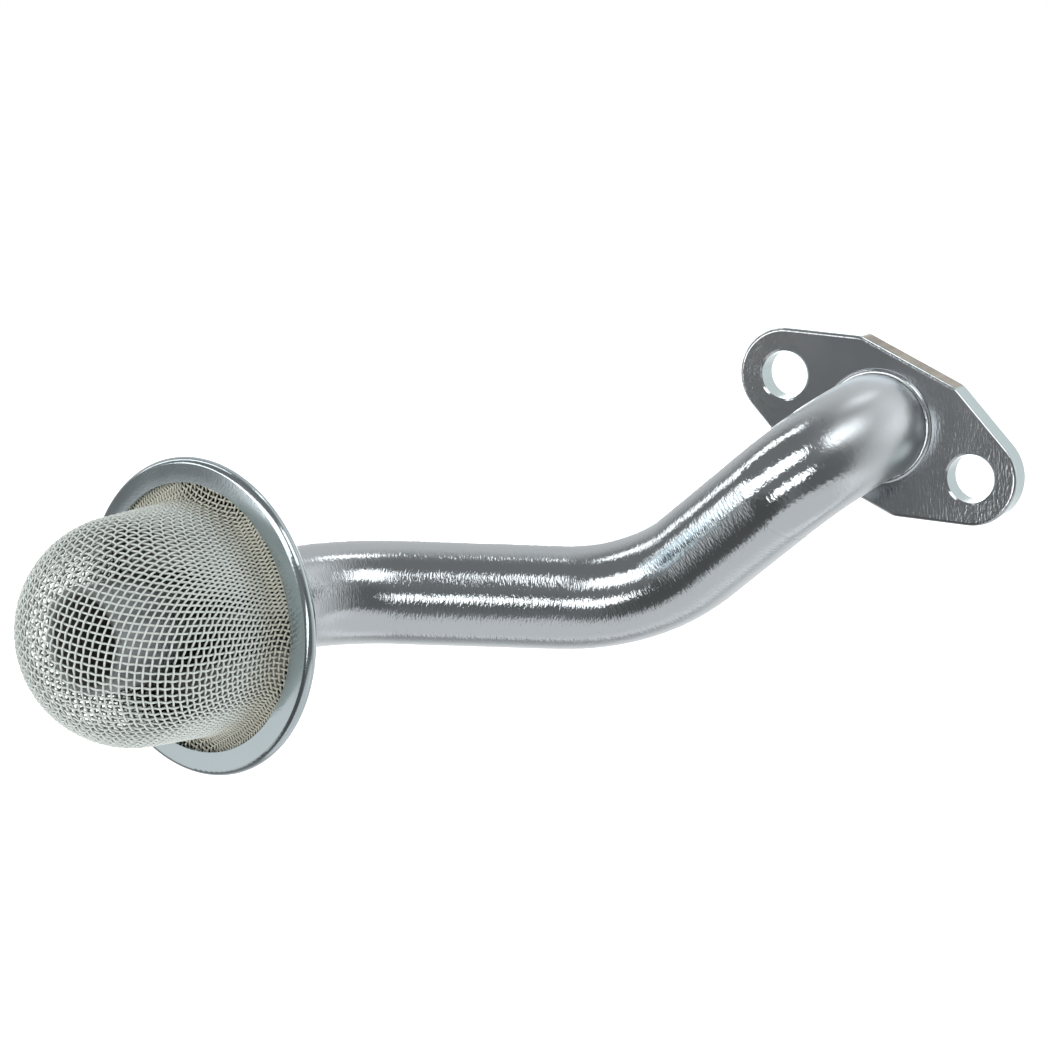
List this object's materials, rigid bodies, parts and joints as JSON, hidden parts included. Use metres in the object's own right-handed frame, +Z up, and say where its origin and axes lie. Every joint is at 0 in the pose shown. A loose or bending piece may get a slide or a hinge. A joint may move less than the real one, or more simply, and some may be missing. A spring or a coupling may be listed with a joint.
{
  "type": "oil pickup tube",
  "caption": "Bent steel oil pickup tube with a bolt-on flange at its outlet and a domed wire-mesh strainer, held in a hemmed round plate, over its inlet.",
  "frame": {"origin": "centre of the flange's mounting face, midway between its bolt holes", "axes": "+Y out of the mounting face, +Z up with the flange held on a vertical wall as the picture shows it, tube and strainer towards -X and -Y"},
  "size_m": [0.1315, 0.0878, 0.0593],
  "materials": {
    "tube_zinc": "bright zinc plate, fine grain",
    "flange_zinc": "satin zinc plate on pressed steel",
    "braze": "smooth bead, plated over",
    "plate_zinc": "bright zinc plate",
    "mesh_wire": "plain-weave plated wire"
  },
  "bodies": {
    "root": {"pickup_tube": "tube_zinc", "flange": "flange_zinc", "flange_braze": "braze", "strainer_plate": "plate_zinc", "plate_braze": "braze", "strainer_mesh": "mesh_wire"}
  },
  "joints": []
}
